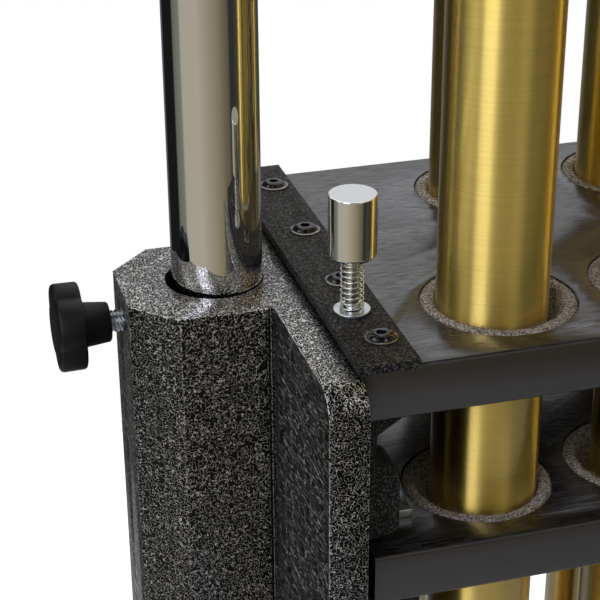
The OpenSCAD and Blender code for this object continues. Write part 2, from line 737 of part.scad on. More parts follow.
// The plunger: a turned knob on a rod that goes down through the upper board, with a stop collar
// under the board.
module plunger() {
    r = plunger_knob_d / 2;
    top = plunger_seat + plunger_knob_h;
    rr = plunger_rod_d / 2;
    stop_z = board_top - board_t - pass_gap;
    color("gainsboro") translate([plunger_x, -plunger_y, 0]) rotate_extrude()
        polygon([[0, plunger_low], [rr - 0.6, plunger_low], [rr, plunger_low + 0.8], [rr, stop_z - 2],
                 [rr + 2, stop_z - 2], [rr + 2, stop_z], [rr, stop_z], [rr, plunger_seat],
                 [r - 1.2, plunger_seat], [r, plunger_seat + 1.2], [r, top - 0.7], [r - 0.7, top],
                 [0, top]]);
}
module plunger_spring() {
    color("gainsboro") translate([plunger_x, -plunger_y, board_top + strip_t + washer_t])
        coil(spring_turns, spring_d / 2, spring_h, spring_wire);
}

// The latch plate on the lower board. With the damper on, a lowered plunger sits in its notch, whose
// mouth is narrower than the rod. With the damper open, the rod stands before the plate's end.
module latch_plate() {
    end_x = plunger_x - damper_travel + plunger_rod_d / 2 + pass_gap;
    color("silver") difference() {
        translate([end_x, -plunger_y - latch_w / 2, lower_top])
            cube([latch_reach - strip_x - end_x, latch_w, latch_t]);
        translate([plunger_x, -plunger_y, lower_top - 1]) cylinder(d = plunger_hole_d, h = latch_t + 2);
    }
}

// The clamp knobs: a four-lobed head with hollowed flanks on a neck, and a threaded stud that
// presses on the post.
module knob() {
    r = knob_d / 2;
    face = -tower_w - stud_show;
    lobe = r * 0.42;
    translate([face, 0, clamp_z]) rotate([0, -90, 0]) {
        difference() {
            cylinder(d = neck_d, h = neck_l + 1);
            translate([0, 0, -1]) cylinder(d = stud_d, h = neck_l);
        }
        translate([0, 0, neck_l]) intersection() {
            difference() {
                union() {
                    cylinder(r = r * 0.8, h = knob_t);
                    for (a = [45:90:315]) rotate([0, 0, a]) translate([r - lobe, 0, 0])
                        cylinder(r = lobe, h = knob_t);
                }
                for (a = [0:90:270]) rotate([0, 0, a]) translate([r * 1.12, 0, -1])
                    cylinder(r = lobe, h = knob_t + 2);
            }
            rotate_extrude() polygon([[0, 0], [r - 1.6, 0], [r, 1.6], [r, knob_t - knob_bevel],
                                      [r - knob_bevel, knob_t - 0.4], [0, knob_t]]);
        }
    }
}
module stud() {
    inner = -bore_x + post_push - post_d / 2 - pass_gap;
    outer = -tower_w - stud_show - neck_l + 1;
    x_rod([outer, 0, clamp_z], stud_d, inner - outer);
}
module clamp_knob_left() color("#151515") at_end(-1) knob();
module clamp_knob_right() color("#151515") at_end(1) knob();
module clamp_stud_left() color("lightsteelblue") at_end(-1) stud();
module clamp_stud_right() color("lightsteelblue") at_end(1) stud();

// A castor: fork, wheel and brake. They are drawn trailing to +Y from their swivel axis, and each
// castor trails outwards, away from the stand's middle.
module at_castor(sx, sy) {
    translate([sx * foot_x, sy * castor_y, 0]) mirror([0, sy > 0 ? 0 : 1, 0]) children();
}
module castor_fork() {
    color("silver") {
        translate([0, 0, crown_low]) cylinder(d = 46, h = crown_top - crown_low);
        translate([0, 0, crown_top - 1]) cylinder(d = king_d, h = king_top - crown_top);
        for (s = [-1, 1]) translate([s > 0 ? cheek_x : -cheek_x - cheek_t, 0, 0])
            rotate([90, 0, 90]) linear_extrude(cheek_t) {
                polygon([[-18, crown_top], [-18, crown_low], [castor_trail - 11, axle_z],
                         [castor_trail + 11, axle_z], [lever_y + 6, lever_z - 4],
                         [lever_y + 6, lever_z + 4], [18, crown_top]]);
                translate([castor_trail, axle_z]) circle(r = 11);
            }
        x_rod([-cheek_x - cheek_t - 3, castor_trail, axle_z], axle_d, 2 * (cheek_x + cheek_t + 3));
        x_rod([-cheek_x - cheek_t, lever_y, lever_z], lever_pin_d, 2 * (cheek_x + cheek_t));
    }
}
module castor_wheel() {
    r = wheel_d / 2;
    w = wheel_w / 2;
    hub_r = axle_d / 2 + 7;
    bore = axle_d / 2 + run_fit;
    half = [[hub_r, w], [hub_r, w - 3], [r - 10, w - 4], [r - 9, w], [r - 3, w - 0.6],
            [r - 0.8, w - 3], [r, w - 6]];
    color("#2a2a2a") translate([0, castor_trail, axle_z]) rotate([0, 90, 0]) rotate_extrude()
        polygon(concat([[bore, -w]], [for (p = half) [p[0], -p[1]]],
                       [for (i = [len(half) - 1:-1:0]) half[i]], [[bore, w]]));
}
module castor_brake() {
    half = cheek_x - 0.6;
    tip = castor_trail + wheel_d / 2 - 1;
    shoe_y = lever_y + 10;
    tread = axle_z + sqrt(pow(wheel_d / 2, 2) - pow(shoe_y - castor_trail, 2));
    shoe_z = tread + (shoe_y - lever_y) * sin(12) + pass_gap + 1.5;
    color("#2a2a2a") difference() {
        union() {
            x_rod([-half, lever_y, lever_z], 10, 2 * half);
            translate([-half, lever_y, lever_z]) cube([2 * half, tip - lever_y, 5]);
            translate([-15, lever_y + 12, lever_z]) cube([30, tip - lever_y - 12, 5]);
            translate([-half + 2, shoe_y - 3, shoe_z]) cube([2 * half - 4, 6, lever_z - shoe_z + 1]);
        }
        x_rod([-half - 1, lever_y, lever_z], lever_pin_d + 2 * run_fit, 2 * half + 2);
    }
}

tower_left();
tower_right();
foot_left();
foot_right();
cross_beam();
damper_rail();
upper_board();
upper_felts();
end_strips();
board_screws();
board_guides();
plunger_washer();
posts();
head_castings();
front_rail();
rear_rail();
bell_hooks();
clamp_knob_left();
clamp_knob_right();
clamp_stud_left();
clamp_stud_right();
lower_board();
lower_felts();
latch_plate();
drive_lug();
bell_crank();
pedal_rod();
return_spring();
pedal();
plunger();
plunger_spring();
at_castor(-1, -1) castor_fork();  // castor_fork_fl
at_castor(1, -1) castor_fork();  // castor_fork_fr
at_castor(-1, 1) castor_fork();  // castor_fork_rl
at_castor(1, 1) castor_fork();  // castor_fork_rr
at_castor(-1, -1) castor_wheel();  // castor_wheel_fl
at_castor(1, -1) castor_wheel();  // castor_wheel_fr
at_castor(-1, 1) castor_wheel();  // castor_wheel_rl
at_castor(1, 1) castor_wheel();  // castor_wheel_rr
at_castor(-1, -1) castor_brake();  // castor_brake_fl
at_castor(1, -1) castor_brake();  // castor_brake_fr
for (n = [0:len(BELLS) - 1]) {
    bell(n);
}
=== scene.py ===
import json
import math

import bmesh
import bpy
import numpy as np
from mathutils import Matrix, Vector

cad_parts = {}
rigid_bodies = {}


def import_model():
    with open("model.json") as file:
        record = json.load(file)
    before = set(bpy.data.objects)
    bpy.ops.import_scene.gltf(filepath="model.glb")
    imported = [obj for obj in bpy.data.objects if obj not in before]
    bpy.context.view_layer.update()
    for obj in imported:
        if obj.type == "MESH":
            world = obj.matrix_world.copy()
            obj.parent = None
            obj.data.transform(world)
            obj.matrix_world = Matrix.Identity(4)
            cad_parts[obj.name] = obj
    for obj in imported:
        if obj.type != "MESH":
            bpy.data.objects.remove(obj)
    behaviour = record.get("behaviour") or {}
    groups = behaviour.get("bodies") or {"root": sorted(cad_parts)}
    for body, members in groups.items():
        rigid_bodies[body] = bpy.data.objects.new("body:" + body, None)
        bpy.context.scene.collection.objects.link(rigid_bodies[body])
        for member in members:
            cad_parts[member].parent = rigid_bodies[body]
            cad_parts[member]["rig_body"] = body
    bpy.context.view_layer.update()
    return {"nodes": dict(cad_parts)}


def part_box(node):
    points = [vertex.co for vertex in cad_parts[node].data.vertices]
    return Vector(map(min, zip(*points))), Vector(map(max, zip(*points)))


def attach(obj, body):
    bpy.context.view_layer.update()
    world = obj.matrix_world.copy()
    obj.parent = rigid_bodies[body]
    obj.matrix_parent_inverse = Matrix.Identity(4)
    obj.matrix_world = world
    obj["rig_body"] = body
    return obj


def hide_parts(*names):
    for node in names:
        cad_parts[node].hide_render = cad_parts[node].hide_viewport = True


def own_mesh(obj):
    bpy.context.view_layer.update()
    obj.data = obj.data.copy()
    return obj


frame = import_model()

MM = 0.001


# The photograph's view: a long lens a little over half a metre in front of the stand's left end,
# looking down on the lock plunger. Place, turn and lens come from a fit to the photograph's edges.
PHOTO_PIXELS, LENS_PIXELS = 600, 1693.5
SENSOR_WIDTH = 36
NEAREST_SEEN = 20 * MM
VIEW_TURN, VIEW_DOWN, VIEW_ROLL = (math.radians(angle) for angle in (15.710, 26.388, -0.380))
VIEW_FROM = Vector((-513.1, -521.2, 1204.1)) * MM
ahead = Vector((math.sin(VIEW_TURN) * math.cos(VIEW_DOWN), math.cos(VIEW_TURN) * math.cos(VIEW_DOWN),
                -math.sin(VIEW_DOWN)))
level = Vector((math.cos(VIEW_TURN), -math.sin(VIEW_TURN), 0))
upright = level.cross(ahead)
right = level * math.cos(VIEW_ROLL) + upright * math.sin(VIEW_ROLL)
over = upright * math.cos(VIEW_ROLL) - level * math.sin(VIEW_ROLL)
camera_data = bpy.data.cameras.new("photo_camera")
camera_data.sensor_width = SENSOR_WIDTH
camera_data.lens = LENS_PIXELS / PHOTO_PIXELS * SENSOR_WIDTH
camera_data.clip_start = NEAREST_SEEN
camera = bpy.data.objects.new("photo_camera", camera_data)
camera_turn = Matrix((right, over, -ahead)).transposed().to_4x4()
camera.matrix_world = Matrix.Translation(VIEW_FROM) @ camera_turn
bpy.context.scene.collection.objects.link(camera)
bpy.context.scene.camera = camera
bpy.context.scene.view_settings.view_transform = "Standard"


# The studio: a pale round floor under a white sweep, with soft lamps. What the metal mirrors is two
# rings of pale cards and dark gaps round the object, one low and one high, and grey overhead. A stop
# is an angle in degrees to the right of the photo's view, and the colour there.
VIEW_AZIMUTH = -math.pi / 2 - VIEW_TURN
CARDS_LOW = [
    (-180, 0.12, 0.12, 0.12), (-150, 0.10, 0.10, 0.10), (-144, 0.01, 0.01, 0.01),
    (-100, 0.01, 0.01, 0.01), (-95, 0.14, 0.14, 0.12), (-76, 0.20, 0.20, 0.16),
    (-71, 0.40, 0.385, 0.32), (-30, 0.43, 0.385, 0.305), (20, 0.23, 0.20, 0.125),
    (34, 0.155, 0.13, 0.08), (44, 0.115, 0.10, 0.07), (50, 0.03, 0.03, 0.03),
    (60, 0.03, 0.03, 0.03), (66, 0.06, 0.05, 0.03), (88, 0.04, 0.03, 0.015),
    (94, 0.012, 0.007, 0.003), (125, 0.012, 0.008, 0.004), (138, 0.06, 0.055, 0.035),
    (162, 0.06, 0.055, 0.04), (172, 0.02, 0.02, 0.025), (180, 0.13, 0.13, 0.13)]
CARDS_HIGH = [
    (-180, 0.70, 0.71, 0.75), (-168, 0.70, 0.71, 0.75), (-158, 0.08, 0.07, 0.06),
    (-92, 0.10, 0.09, 0.08), (-86, 0.50, 0.49, 0.46), (-40, 0.52, 0.51, 0.47),
    (-34, 1.0, 1.0, 0.96), (-12, 1.0, 1.0, 0.96), (-8, 0.50, 0.48, 0.43), (38, 0.46, 0.43, 0.38),
    (46, 0.36, 0.33, 0.28), (98, 0.34, 0.32, 0.28), (106, 0.60, 0.55, 0.45),
    (145, 0.62, 0.58, 0.50), (158, 0.70, 0.71, 0.75), (180, 0.70, 0.71, 0.75)]
# Where a ring fades into the next, by the height of a direction, from -1 for down to 1 for up.
LOW_ENDS, HIGH_STARTS = -0.08, 0.12
HIGH_ENDS, OVERHEAD_STARTS = 0.58, 0.70
OVERHEAD_GREY, SKY_GREY, WHITE = (0.03, 0.03, 0.03, 1), (0.17, 0.17, 0.17, 1), (1, 1, 1, 1)


class NodeTree:
    """A node tree in the making, with short ways to add the nodes that its colours are made of."""

    def __init__(self, tree):
        self.tree = tree

    def add(self, kind, sockets=None, **settings):
        """A node of a kind with its settings. Each socket is linked to a node, or given its value."""
        node = self.tree.nodes.new("ShaderNode" + kind)
        for key, value in settings.items():
            setattr(node, key, value)
        for key, value in (sockets or {}).items():
            if isinstance(value, bpy.types.Node):
                value = value.outputs[0]
            if isinstance(value, bpy.types.NodeSocket):
                self.tree.links.new(value, node.inputs[key])
            else:
                node.inputs[key].default_value = value
        return node

    def calculate(self, operation, *values):
        """One step of arithmetic on one or two values."""
        return self.add("Math", dict(enumerate(values)), operation=operation)

    def fade(self, value, start, end, first=0.0, last=1.0):
        """Goes evenly from the first, where the value is at the start, to the last, at the end."""
        return self.add("MapRange", {"Value": value, "From Min": start, "From Max": end,
                                     "To Min": first, "To Max": last})

    def blend(self, share, first, second):
        """The first colour where the share is 0, the second where it is 1, and even steps between."""
        return self.add("Mix", {0: share, 6: first, 7: second}, data_type="RGBA").outputs[2]

    def ramp(self, factor, stops):
        """A colour for each value of the factor, from stops of (place, red, green, blue)."""
        node = self.add("ValToRGB", {"Fac": factor})
        elements = node.color_ramp.elements
        elements.remove(elements[-1])
        for number, (place, *colour) in enumerate(stops):
            element = elements.new(place) if number else elements[0]
            element.position = place
            element.color = (*colour, 1)
        return node


world = bpy.data.worlds.new("studio")
bpy.context.scene.world = world
world.use_nodes = True
world.node_tree.nodes.clear()
sky = NodeTree(world.node_tree)
direction = sky.add("SeparateXYZ", {"Vector": sky.add("TexCoord").outputs["Generated"]})
bearing = sky.calculate("ARCTAN2", direction.outputs["Y"], direction.outputs["X"])
from_view = sky.calculate("SUBTRACT", bearing, VIEW_AZIMUTH + math.pi)
around = sky.calculate("FRACT", sky.calculate("DIVIDE", from_view, 2 * math.pi))
low_cards, high_cards = (
    sky.ramp(around, [((angle + 180) / 360, *colour) for angle, *colour in cards])
    for cards in (CARDS_LOW, CARDS_HIGH))
rising = direction.outputs["Z"]
all_round = sky.blend(sky.fade(rising, LOW_ENDS, HIGH_STARTS), low_cards, high_cards)
mirrored = sky.blend(sky.fade(rising, HIGH_ENDS, OVERHEAD_STARTS), all_round, OVERHEAD_GREY)
ray = sky.add("LightPath")
by_gloss = sky.blend(ray.outputs["Is Glossy Ray"], SKY_GREY, mirrored)
by_camera = sky.blend(ray.outputs["Is Camera Ray"], by_gloss, WHITE)
sky.add("OutputWorld", {"Surface": sky.add("Background", {"Color": by_camera, "Strength": 1})})


class Finish(NodeTree):
    """A material in the making: its shader with its constants set, and the object's coordinates."""

    def __init__(self, name, **constants):
        self.material = bpy.data.materials.new(name)
        self.material.use_nodes = True
        super().__init__(self.material.node_tree)
        self.shader = self.tree.nodes["Principled BSDF"]
        for key, value in constants.items():
            self.shader.inputs[key.replace("_", " ")].default_value = value
        self.at = self.add("TexCoord").outputs["Object"]

    def feed(self, socket, source):
        """Links a node's first output, or the output given, to a socket of the shader."""
        output = source.outputs[0] if isinstance(source, bpy.types.Node) else source
        self.tree.links.new(output, self.shader.inputs[socket])

    def noise(self, scale, detail, at=None, **sockets):
        """A noise in the object's coordinates. Three scales in place of one stretch it."""
        at = at or self.at
        if isinstance(scale, tuple):
            at = self.add("Mapping", {"Vector": at, "Scale": scale})
            scale = 1.0
        return self.add("TexNoise", {"Vector": at, "Scale": scale, "Detail": detail, **sockets})

    def tone(self, factor, *stops):
        """Gives the shader its colour, by a ramp."""
        self.feed("Base Color", self.ramp(factor, stops))

    def gloss(self, factor, first, last, start=0.0, end=1.0):
        """Gives the shader its roughness, the first at the factor's start and the last at its end."""
        self.feed("Roughness", self.fade(factor, start, end, first, last))

    def relief(self, height, strength, depth, normal=None, **settings):
        """Bumps the surface by a height, over the normal given or else the surface's own."""
        sockets = {"Height": height, "Strength": strength, "Distance": depth}
        if normal:
            sockets["Normal"] = normal
        self.feed("Normal", self.add("Bump", sockets, **settings))


FLOOR_RADIUS, FLOOR_SIDES = 1.5, 96
FLOOR_PALE, FLOOR_GLOW = (0.86, 0.86, 0.86, 1), 0.80
turn = np.linspace(0, 2 * math.pi, FLOOR_SIDES, endpoint=False)
rim = FLOOR_RADIUS * np.stack([np.cos(turn), np.sin(turn), 0 * turn], -1)
floor_mesh = bpy.data.meshes.new("floor")
floor_mesh.from_pydata(rim.tolist(), [], [range(FLOOR_SIDES)])
floor = bpy.data.objects.new("floor", floor_mesh)
bpy.context.scene.collection.objects.link(floor)
floor_paint = Finish("floor_paint", Base_Color=FLOOR_PALE, Roughness=0.9, Emission_Color=WHITE)
seen = floor_paint.add("LightPath").outputs["Is Camera Ray"]
floor_paint.feed("Emission Strength", floor_paint.calculate("MULTIPLY", seen, FLOOR_GLOW))
floor.data.materials.append(floor_paint.material)

LAMP_AIM = Vector((-0.25, 0, 0.95))


def lamp(name, angle, elevation, distance, size, power, tint=(1, 1, 1)):
    """A soft rectangular lamp, turned to the aim, at an angle from the photo's view and a height angle.

    With t and h for the two angles, its direction is (cos t cos h, sin t cos h, sin h).
    """
    data = bpy.data.lights.new(name, "AREA")
    data.shape = "RECTANGLE"
    data.size, data.size_y = size
    data.energy = power
    data.color = tint
    turn, rise = VIEW_AZIMUTH + math.radians(angle), math.radians(elevation)
    outward = Vector((math.cos(turn) * math.cos(rise), math.sin(turn) * math.cos(rise), math.sin(rise)))
    facing = outward.to_track_quat("Z", "Y").to_matrix().to_4x4()
    light = bpy.data.objects.new(name, data)
    light.matrix_world = Matrix.Translation(LAMP_AIM + outward * distance) @ facing
    bpy.context.scene.collection.objects.link(light)


# Each lamp's angle, height angle, distance, size and power in watts.
lamp("strip_left", -33, 24, 2.2, (1.0, 1.8), 16, tint=(0.97, 1.0, 1.25))
lamp("top_rear", 175, 62, 2.6, (3.0, 2.6), 28)
lamp("key_left", -75, 40, 2.6, (1.1, 1.1), 8)
lamp("fill_right", 45, 50, 3.0, (1.0, 1.0), 6)


# The towers, feet, head castings and pedal: iron cast with soft edges, and the steel bars between
# them, all under glossy black enamel with a silver hammer pattern. The posts slide in the towers'
# bored tops, and the flange beside the boards carries them.
CAST_EDGE, BAR_EDGE = 1.5 * MM, 0.5 * MM
LEAST_BEND, FLAT_BEND = math.radians(30), math.radians(0.3)
MERGE_GAP = 0.002 * MM
HAMMER_BLACK = (0.001, 0.001, 0.001, 1)
# The edge silver and edge worm width paint a highlight along rounded edges, and the top worm width
# paints a sheen on top faces.
FACE_SILVER, EDGE_HIGHLIGHT_SILVER = (0.68, 0.66, 0.61, 1), (0.92, 0.91, 0.88, 1)
FACE_WORM, TOP_SHEEN_WORM, EDGE_HIGHLIGHT_WORM = 0.0205, 0.036, 0.080
# The second reach is how far ambient occlusion looks for a hollow, to paint shade there.
EDGE_REACH, SHADE_REACH = 0.7 * MM, 8 * MM
HAMMER_SCALE = 980
HAMMER_SQUEEZE = (0.75, 0.12)


def hammer_enamel():
    """Black enamel with silver worms: a worm lies where a noise is within a width of its middle value.

    The pattern is drawn out along Y, most on faces that look along X. On a rounded edge the bevel's
    normal leaves the face's, and the worms widen and turn a whiter silver: a painted highlight along
    the edge, where the enamel also runs thin. They are wider on top faces, a painted sheen that
    lightens the tops, and thin out where ambient occlusion finds a hollow, a painted shade.
    """
    enamel = Finish("hammer_enamel", Roughness=0.35, Specular_IOR_Level=0.1, Coat_Weight=0.36,
                    Coat_Roughness=0.14)
    facing = enamel.add("SeparateXYZ", {"Vector": enamel.add("TexCoord").outputs["Normal"]})
    sideways = enamel.calculate("POWER", facing.outputs["X"], 2.0)
    squeeze = enamel.fade(sideways, 0, 1, *HAMMER_SQUEEZE)
    scales = enamel.add("CombineXYZ", {"X": 1.0, "Y": squeeze, "Z": 1.0})
    drawn_out = enamel.add("VectorMath", {0: enamel.at, 1: scales}, operation="MULTIPLY")
    cells = enamel.noise(HAMMER_SCALE, detail=0.6, at=drawn_out, Roughness=0.5, Distortion=0.3)
    nearness = enamel.calculate("ABSOLUTE", enamel.calculate("SUBTRACT", cells, 0.5))

    rounded = enamel.add("Bevel", {"Radius": EDGE_REACH}, samples=6)
    flat = enamel.add("NewGeometry").outputs["True Normal"]
    likeness = enamel.add("VectorMath", {0: rounded, 1: flat}, operation="DOT_PRODUCT")
    # Painted highlight: where the bevel's normal leaves the face's, the worms widen and turn whiter.
    edge = enamel.fade(likeness.outputs["Value"], start=0.985, end=0.86)
    # Painted shade: the worms thin out where ambient occlusion finds a hollow.
    openness = enamel.add("AmbientOcclusion", {"Distance": SHADE_REACH}, samples=6)
    painted_shade = enamel.fade(openness.outputs["AO"], start=0.40, end=0.85, first=0.15)
    # Painted sheen: faces that look up get wider worms, which lightens them.
    upward = enamel.fade(facing.outputs["Z"], start=0.3, end=1, first=FACE_WORM, last=TOP_SHEEN_WORM)
    width = enamel.add("Mix", {0: edge, 2: enamel.calculate("MULTIPLY", painted_shade, upward), 3: EDGE_HIGHLIGHT_WORM})

    worm = enamel.fade(enamel.calculate("DIVIDE", nearness, width), start=1.25, end=0.75)
    silver = enamel.blend(edge, FACE_SILVER, EDGE_HIGHLIGHT_SILVER)
    enamel.feed("Base Color", enamel.blend(worm, HAMMER_BLACK, silver))
    enamel.feed("Metallic", enamel.fade(worm, start=0, end=1, last=0.62))
    enamel.relief(cells, strength=0.12, depth=0.3 * MM, normal=rounded)
    return enamel.material


def rounded_copy(node, width, segments=2):
    """A copy of a CAD node's mesh, with points merged, flat faces joined and sharp edges rounded."""
    form = bmesh.new()
    form.from_mesh(frame["nodes"][node].data)
    bmesh.ops.remove_doubles(form, verts=form.verts, dist=MERGE_GAP)
    bmesh.ops.dissolve_limit(form, angle_limit=FLAT_BEND, verts=form.verts, edges=form.edges)
    mesh = bpy.data.meshes.new(node + "_body")
    form.to_mesh(mesh)
    form.free()
    mesh.shade_smooth()
    piece = bpy.data.objects.new(node + "_body", mesh)
    bpy.context.scene.collection.objects.link(piece)
    edges = piece.modifiers.new("edges", "BEVEL")
    edges.width = width
    edges.segments = segments
    edges.limit_method = "ANGLE"
    edges.angle_limit = LEAST_BEND
    edges.harden_normals = True
    return piece


def dress(piece, material, node):
    """Gives a piece its material and slot. It stands for a CAD node and rides on that node's body."""
    piece.data.materials.clear()
    piece.data.materials.append(material)
    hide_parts(node)
    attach(piece, frame["nodes"][node]["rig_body"])


enamel = hammer_enamel()
for tower in ("tower_left", "tower_right"):
    dress(rounded_copy(tower, CAST_EDGE, segments=3), enamel, tower)
for casting in ("foot_left", "foot_right", "head_castings", "pedal"):
    dress(rounded_copy(casting, CAST_EDGE), enamel, casting)
for bar in ("cross_beam", "damper_rail", "front_rail", "rear_rail"):
    dress(rounded_copy(bar, BAR_EDGE), enamel, bar)


# The posts: drawn steel tube with a mirror chrome plate, closed at the top and open in the tower.
# They slide up and down in the towers and carry the head.
POST_RADIUS, POST_WALL, POST_CAP, POST_EDGE = 31.75 / 2 * MM, 2 * MM, 5 * MM, 0.8 * MM
SMOOTH_SIDES = 128
LEAST_GAP = 0.001 * MM
CORNERS_PER_SIDE = 2.2


def grid_faces(rows, columns, closed=False):
    """The quads of a grid of points whose columns close up, as four point numbers each.

    Point (i, j) is number i * columns + j. The rows close up too where closed is true.
    """
    i, j = np.meshgrid(np.arange(rows if closed else rows - 1), np.arange(columns), indexing="ij")
    below, beside = (i + 1) % rows, (j + 1) % columns
    quads = [i * columns + j, i * columns + beside, below * columns + beside, below * columns + j]
    return np.stack(quads, -1).reshape(-1, 4)


def surface_piece(name, points, faces, sharp=35):
    """An object from points and quads, with doubles merged and faces turned outwards.

    An edge is shaded sharp where its faces meet at more than the angle given.
    """
    mesh = bpy.data.meshes.new(name)
    mesh.from_pydata(points.reshape(-1, 3).tolist(), [], faces.tolist())
    form = bmesh.new()
    form.from_mesh(mesh)
    bmesh.ops.remove_doubles(form, verts=form.verts, dist=LEAST_GAP)
    bmesh.ops.recalc_face_normals(form, faces=form.faces)
    form.to_mesh(mesh)
    form.free()
    mesh.shade_smooth()
    mesh.set_sharp_from_angle(angle=math.radians(sharp))
    piece = bpy.data.objects.new(name, mesh)
    bpy.context.scene.collection.objects.link(piece)
    return piece


def soft_corners(profile, radius, steps=4):
    """A profile of (radius, height) pairs with each inner corner replaced by a short curve.

    The curve is (1 - t)^2 start + 2 t (1 - t) corner + t^2 end, with t from 0 to 1. Its ends lie on
    the two sides, a radius from the corner or less where a side is short.
    """
    profile = np.array(profile, float)
    rows = [profile[0]]
    t = np.linspace(0, 1, steps + 1)[:, None]
    for before, corner, after in zip(profile[:-2], profile[1:-1], profile[2:]):
        sides = np.linalg.norm(before - corner), np.linalg.norm(after - corner)
        cut = min(radius, sides[0] / CORNERS_PER_SIDE, sides[1] / CORNERS_PER_SIDE)
        start = corner + (before - corner) / sides[0] * cut
        end = corner + (after - corner) / sides[1] * cut
        rows.extend((1 - t) ** 2 * start + 2 * t * (1 - t) * corner + t ** 2 * end)
    return np.array(rows + [profile[-1]])


def revolved(profile, centre, sides=SMOOTH_SIDES, axis="z"):
    """Points of a revolved surface: (radius cos a, radius sin a, height), a going once round.

    About the x axis, the height comes first.
    """
    turn = np.linspace(0, 2 * math.pi, sides, endpoint=False)
    radius, height = profile[:, 0, None], profile[:, 1, None]
    a, b, c = radius * np.cos(turn), radius * np.sin(turn), height + 0 * turn
    order = (a, b, c) if axis == "z" else (c, a, b)
    return np.stack(order, -1) + np.array(centre)


def turned_piece(name, profile, centre, sides=SMOOTH_SIDES, axis="z", closed=False):
    """A piece with its profile revolved. A closed profile is a ring, an open one ends on the axis."""
    points = revolved(profile, centre, sides, axis)
    return surface_piece(name, points, grid_faces(len(profile), sides, closed))


def chrome_plate():
    """Mirror chrome with the faintest wipe marks along the tube."""
    plate = Finish("chrome_plate", Metallic=1.0, Base_Color=(0.86, 0.86, 0.85, 1))
    wipe = plate.noise((260, 260, 14), detail=3)
    plate.gloss(wipe, first=0.015, last=0.05)
    return plate.material


chrome = chrome_plate()
post_low, post_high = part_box("posts")
bottom, top, bore = post_low[2], post_high[2], POST_RADIUS - POST_WALL
post_outline = soft_corners([(0, top), (POST_RADIUS, top), (POST_RADIUS, bottom), (bore, bottom),
                             (bore, top - POST_CAP), (0, top - POST_CAP)], POST_EDGE)
for side, x in (("left", post_low[0] + POST_RADIUS), ("right", post_high[0] - POST_RADIUS)):
    dress(turned_piece("post_" + side, post_outline, (x, 0, 0)), chrome, "posts")


# The bells: drawn brass tubes brushed round and round, with a soldered cap, soft at its edge, and a
# wire bail in two bosses. Each hangs from a hook under a rail.
TUBE_RADIUS, TUBE_WALL, TUBE_EDGE = 38.1 / 2 * MM, 1.65 * MM, 1.0 * MM
CAP_HEIGHT = 14 * MM
BAIL_RADIUS, BAIL_WIRE, BAIL_LEG = 10 * MM, 3 * MM, 8 * MM
BAIL_ROOT, BAIL_STEPS = 1 * MM, 25
BOSS_RADIUS, BOSS_HEIGHT, BOSS_EDGE, BOSS_SIDES = 2.5 * MM, 8.5 * MM, 0.5 * MM, 24
NEARLY_UPRIGHT = 0.9
BRASS = (0.86, 0.655, 0.165)
bells = [name for name in frame["nodes"]
         if name.startswith("bell_") and name not in ("bell_hooks", "bell_crank")]


def brushed_brass():
    """Lacquered brass: hair-fine rings vary its tone and gloss, and blur reflections along the tube."""
    brass = Finish("brushed_brass", Metallic=1.0, Anisotropic=1.0, Anisotropic_Rotation=0.25,
                   Coat_Weight=1.0, Coat_Roughness=0.2)
    hair = brass.noise((8, 8, 4200), detail=2, Roughness=0.6)
    brass.gloss(hair, first=0.35, last=0.42, start=0.3, end=0.7)
    dark, light = ([channel * share for channel in BRASS] for share in (0.90, 1.06))
    brass.tone(hair, (0.3, *dark), (0.5, *BRASS), (0.7, *light))
    brass.relief(hair, strength=0.05, depth=0.02 * MM)
    brass.feed("Tangent", brass.add("Tangent", direction_type="RADIAL", axis="Z"))
    return brass.material


def swept(path, radius, sides):
    """Points of a round bar along a path: at each point the circle radius (cos a u + sin a v).

    u and v are square to the path there, and u turns as little as may be from point to point.
    """
    path = np.asarray(path, float)
    tangent = np.gradient(path, axis=0)
    tangent /= np.linalg.norm(tangent, axis=1)[:, None]
    up = np.array([0, 0, 1.0]) if abs(tangent[0, 2]) < NEARLY_UPRIGHT else np.array([1.0, 0, 0])
    sideways = np.empty_like(path)
    for i, t in enumerate(tangent):
        up = up - t * up.dot(t)
        up /= np.linalg.norm(up)
        sideways[i] = up
    third = np.cross(tangent, sideways)
    turn = np.linspace(0, 2 * math.pi, sides, endpoint=False)[None, :, None]
    return path[:, None] + radius * (np.cos(turn) * sideways[:, None] + np.sin(turn) * third[:, None])


def bar_piece(name, path, radius, sides=16):
    """A round bar swept along a path, as an object. Its two ends are closed by a ring on the path."""
    rings = swept(path, radius, sides)
    caps = [np.repeat(rings[end].mean(0)[None], sides, 0)[None] for end in (0, -1)]
    points = np.concatenate([caps[0], rings, caps[1]])
    return surface_piece(name, points, grid_faces(len(points), sides))


